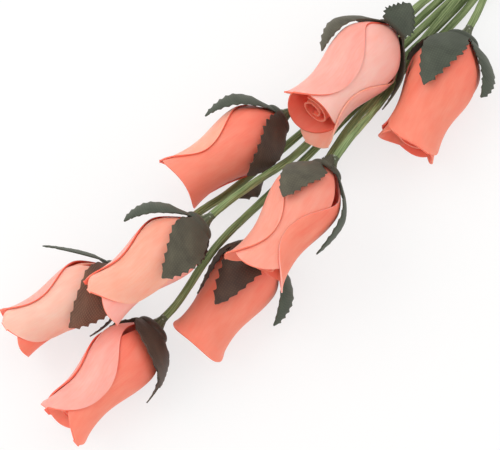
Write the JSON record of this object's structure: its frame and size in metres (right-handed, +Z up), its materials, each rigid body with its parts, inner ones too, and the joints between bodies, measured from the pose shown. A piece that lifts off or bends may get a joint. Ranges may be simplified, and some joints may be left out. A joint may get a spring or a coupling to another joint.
{
  "type": "wooden rose bunch",
  "caption": "Tied bunch of wooden rosebuds: curled coral shavings in dark cloth calyces on tape-wrapped wire stems that lie across each other and nod at the neck.",
  "frame": {"origin": "on the table under the middle of the bunch's box", "axes": "+X along the bunch, from the blooms to the tie and the stem ends; +Z up from the table"},
  "size_m": [0.3733, 0.0902, 0.0562],
  "materials": {
    "petal_wood": "dyed, satin",
    "heart_wood": "dyed, satin",
    "calyx_cloth": "stiffened plain weave",
    "stem_tape": "crepe, matte",
    "stem_wire": "drawn",
    "tie_tape": "crepe, matte"
  },
  "bodies": {
    "stems": {"rose_1_stem": "stem_tape", "rose_2_stem": "stem_tape", "rose_3_stem": "stem_tape", "rose_4_stem": "stem_tape", "rose_5_stem": "stem_tape", "rose_6_stem": "stem_tape", "rose_7_stem": "stem_tape", "rose_8_stem": "stem_tape", "stem_wires": "stem_wire", "bunch_tie": "tie_tape"},
    "rose_1": {"rose_1_outer_petal_a": "petal_wood", "rose_1_outer_petal_b": "petal_wood", "rose_1_inner_petal_a": "petal_wood", "rose_1_inner_petal_b": "petal_wood", "rose_1_heart": "heart_wood", "rose_1_calyx": "calyx_cloth"},
    "rose_2": {"rose_2_outer_petal_a": "petal_wood", "rose_2_outer_petal_b": "petal_wood", "rose_2_inner_petal_a": "petal_wood", "rose_2_inner_petal_b": "petal_wood", "rose_2_heart": "heart_wood", "rose_2_calyx": "calyx_cloth"},
    "rose_3": {"rose_3_outer_petal_a": "petal_wood", "rose_3_outer_petal_b": "petal_wood", "rose_3_inner_petal_a": "petal_wood", "rose_3_inner_petal_b": "petal_wood", "rose_3_heart": "heart_wood", "rose_3_calyx": "calyx_cloth"},
    "rose_4": {"rose_4_outer_petal_a": "petal_wood", "rose_4_outer_petal_b": "petal_wood", "rose_4_inner_petal_a": "petal_wood", "rose_4_inner_petal_b": "petal_wood", "rose_4_heart": "heart_wood", "rose_4_calyx": "calyx_cloth"},
    "rose_5": {"rose_5_outer_petal_a": "petal_wood", "rose_5_outer_petal_b": "petal_wood", "rose_5_inner_petal_a": "petal_wood", "rose_5_inner_petal_b": "petal_wood", "rose_5_heart": "heart_wood", "rose_5_calyx": "calyx_cloth"},
    "rose_6": {"rose_6_outer_petal_a": "petal_wood", "rose_6_outer_petal_b": "petal_wood", "rose_6_inner_petal_a": "petal_wood", "rose_6_inner_petal_b": "petal_wood", "rose_6_heart": "heart_wood", "rose_6_calyx": "calyx_cloth"},
    "rose_7": {"rose_7_outer_petal_a": "petal_wood", "rose_7_outer_petal_b": "petal_wood", "rose_7_inner_petal_a": "petal_wood", "rose_7_inner_petal_b": "petal_wood", "rose_7_heart": "heart_wood", "rose_7_calyx": "calyx_cloth"},
    "rose_8": {"rose_8_outer_petal_a": "petal_wood", "rose_8_outer_petal_b": "petal_wood", "rose_8_inner_petal_a": "petal_wood", "rose_8_inner_petal_b": "petal_wood", "rose_8_heart": "heart_wood", "rose_8_calyx": "calyx_cloth"}
  },
  "joints": [
    {"name": "rose_1_nod", "type": "hinge", "parent": "stems", "child": "rose_1", "pos_m": [0.0215, 0.0015, 0.021], "axis": [0, 1, 0], "range_deg": [0, 20]},
    {"name": "rose_2_nod", "type": "hinge", "parent": "stems", "child": "rose_2", "pos_m": [0.0395, -0.02, 0.0165], "axis": [0, 0, 1], "range_deg": [0, 20]},
    {"name": "rose_3_nod", "type": "hinge", "parent": "stems", "child": "rose_3", "pos_m": [-0.034, 0.011, 0.0185], "axis": [0.2419, 0.9703, 0], "range_deg": [0, 20]},
    {"name": "rose_4_nod", "type": "hinge", "parent": "stems", "child": "rose_4", "pos_m": [-0.044, -0.02, 0.04], "axis": [-0.1219, 0.9925, 0], "range_deg": [0, 20]},
    {"name": "rose_5_nod", "type": "hinge", "parent": "stems", "child": "rose_5", "pos_m": [-0.092, 0.001, 0.0395], "axis": [0.1736, 0.9848, 0], "range_deg": [0, 20]},
    {"name": "rose_6_nod", "type": "hinge", "parent": "stems", "child": "rose_6", "pos_m": [-0.0765, -0.018, 0.016], "axis": [0, 0, 1], "range_deg": [0, 15]},
    {"name": "rose_7_nod", "type": "hinge", "parent": "stems", "child": "rose_7", "pos_m": [-0.1225, 0.017, 0.0155], "axis": [0, 0, 1], "range_deg": [-20, 0]},
    {"name": "rose_8_nod", "type": "hinge", "parent": "stems", "child": "rose_8", "pos_m": [-0.1295, -0.0075, 0.0165], "axis": [0, 0, 1], "range_deg": [0, 15]}
  ]
}
